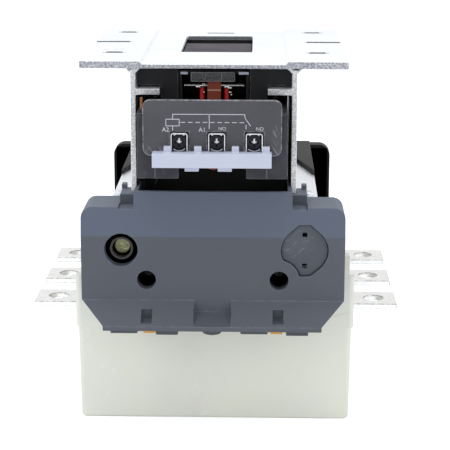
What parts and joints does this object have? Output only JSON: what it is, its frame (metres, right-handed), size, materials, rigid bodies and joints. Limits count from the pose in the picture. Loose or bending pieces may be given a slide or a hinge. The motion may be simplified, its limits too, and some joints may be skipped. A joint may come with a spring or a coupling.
{
  "type": "magnetic contactor",
  "caption": "Bar-terminal magnetic contactor with an extruded mounting bracket, coil terminal block, grey side housing and beige arc chamber.",
  "frame": {"origin": "centre of the bounding box at the face of the arc chamber cover, on which it stands", "axes": "+X from the load terminals to the line terminals, +Y from the coil side across the poles, +Z from the front cover to the mounting face"},
  "size_m": [0.206, 0.213, 0.2064],
  "materials": {
    "bare_aluminium": "mill finish extrusion with cut ends",
    "laminated_steel": "stacked laminations with a grey purple oxide",
    "plated_steel": "bright zinc plated screws, clamps and keys",
    "passivated_brass": "yellow passivated rod ends",
    "plated_copper": "silver plated copper bar",
    "splitter_steel": "plain steel sheets",
    "wound_copper": "enamelled copper winding under tape",
    "grey_plastic": "grey moulding with a fine texture",
    "label_plastic": "dark grey moulding",
    "coil_plastic": "black moulding",
    "black_plastic": "black moulding",
    "beige_plastic": "pale beige moulding",
    "pale_plastic": "pale lavender moulding",
    "orange_plastic": "orange moulding",
    "red_brown_plastic": "red brown moulding",
    "red_sleeve": "red sleeving"
  },
  "bodies": {
    "frame": {"mounting_bracket": "bare_aluminium", "magnet_yoke": "laminated_steel", "foot_screws": "plated_steel", "yoke_rivets": "plated_steel", "yoke_keys": "plated_steel", "coil_terminal_plates": "plated_steel", "coil_terminal_screws": "plated_steel", "housing_screws": "plated_steel", "chamber_screws": "plated_steel", "return_spring_near": "plated_steel", "return_spring_far": "plated_steel", "interlock_studs": "passivated_brass", "line_terminal_1": "plated_copper", "line_terminal_2": "plated_copper", "line_terminal_3": "plated_copper", "load_terminal_1": "plated_copper", "load_terminal_2": "plated_copper", "load_terminal_3": "plated_copper", "fixed_contact_tips": "plated_copper", "switch_leaves": "plated_copper", "arc_splitters_1": "splitter_steel", "arc_splitters_2": "splitter_steel", "arc_splitters_3": "splitter_steel", "coil_winding": "wound_copper", "side_housing": "grey_plastic", "screw_bosses": "grey_plastic", "knockout_cover": "grey_plastic", "coil_label_plate": "label_plastic", "coil_block": "coil_plastic", "coil_bobbin": "coil_plastic", "switch_frame": "coil_plastic", "far_cover": "black_plastic", "base_frame": "black_plastic", "stud_sleeves": "black_plastic", "pole_housing": "beige_plastic", "arc_chamber": "beige_plastic", "terminal_strip": "pale_plastic", "switch_core": "red_brown_plastic", "switch_leads": "red_sleeve"},
    "moving_group": {"contact_carrier": "black_plastic", "auxiliary_arm": "black_plastic", "auxiliary_driver_left": "orange_plastic", "auxiliary_driver_right": "orange_plastic", "armature": "laminated_steel", "armature_rivets": "plated_steel", "moving_contact_tips": "plated_copper", "moving_bridge_1": "plated_copper", "moving_bridge_2": "plated_copper", "moving_bridge_3": "plated_copper", "contact_spring_1": "plated_steel", "contact_spring_2": "plated_steel", "contact_spring_3": "plated_steel"}
  },
  "joints": [
    {"name": "armature_travel", "type": "slide", "parent": "frame", "child": "moving_group", "axis": [0, 0, 1], "range_m": [0, 0.01], "stiffness_N_per_m": 4000, "springref_m": -0.01, "deforming": ["return_spring_near", "return_spring_far"]}
  ]
}
